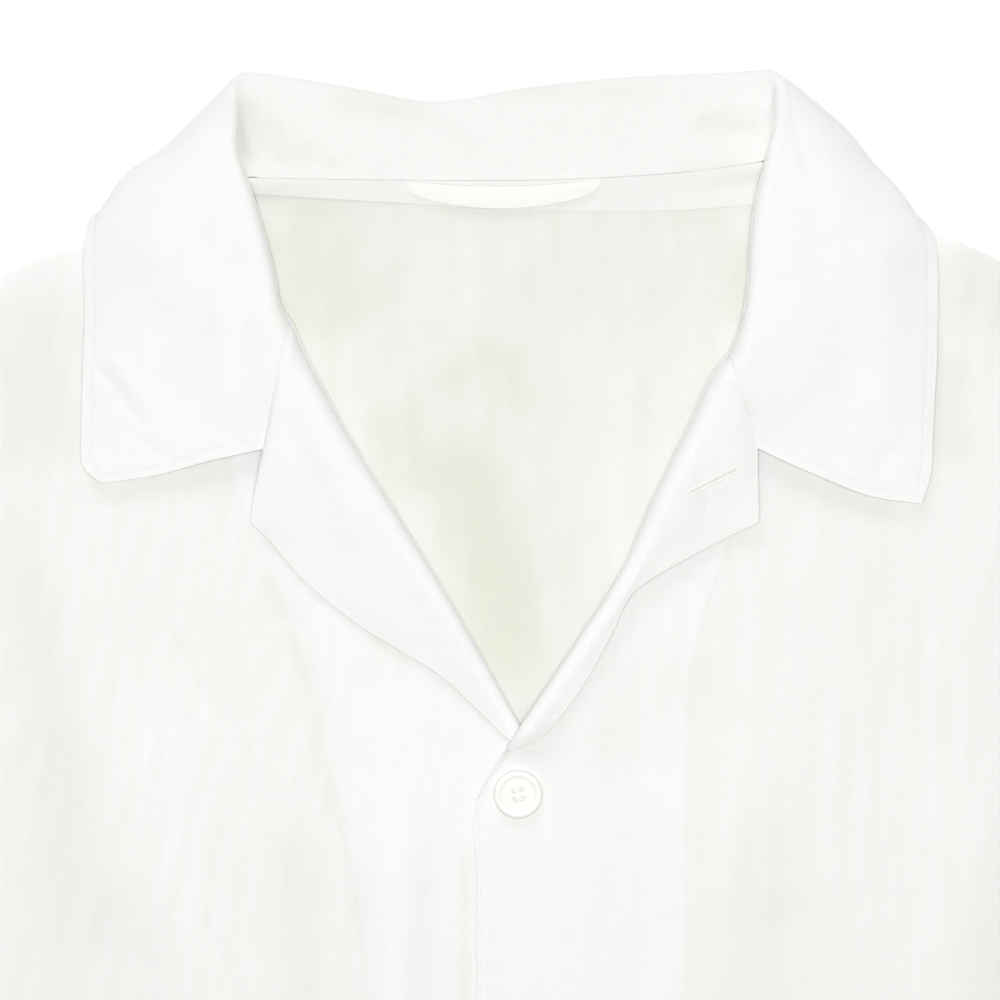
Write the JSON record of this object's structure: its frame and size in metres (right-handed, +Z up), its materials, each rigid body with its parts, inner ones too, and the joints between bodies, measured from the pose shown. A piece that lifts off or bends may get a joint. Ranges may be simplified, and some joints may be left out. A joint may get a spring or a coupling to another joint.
{
  "type": "shirt jacket",
  "caption": "Long-sleeved shirt jacket in sheer white linen with an open one-piece collar and rolled lapels, buttoned and laid flat on its back.",
  "frame": {"origin": "on the surface the garment lies on, under the middle of its box", "axes": "+X towards the wearer's left sleeve, +Y from the hem towards the neck, +Z up from the surface"},
  "size_m": [1.0064, 0.7723, 0.0217],
  "materials": {
    "linen": "sheer plain-weave linen, matt, off-white",
    "button": "pearly white resin, soft gloss"
  },
  "bodies": {
    "root": {"back": "linen", "right_front": "linen", "left_front": "linen", "right_facing": "linen", "left_facing": "linen", "upper_collar": "linen", "under_collar": "linen", "right_sleeve": "linen", "left_sleeve": "linen", "neck_tape": "linen", "hanger_loop": "linen", "button_1": "button", "button_2": "button", "button_3": "button", "button_4": "button", "button_5": "button"}
  },
  "joints": []
}
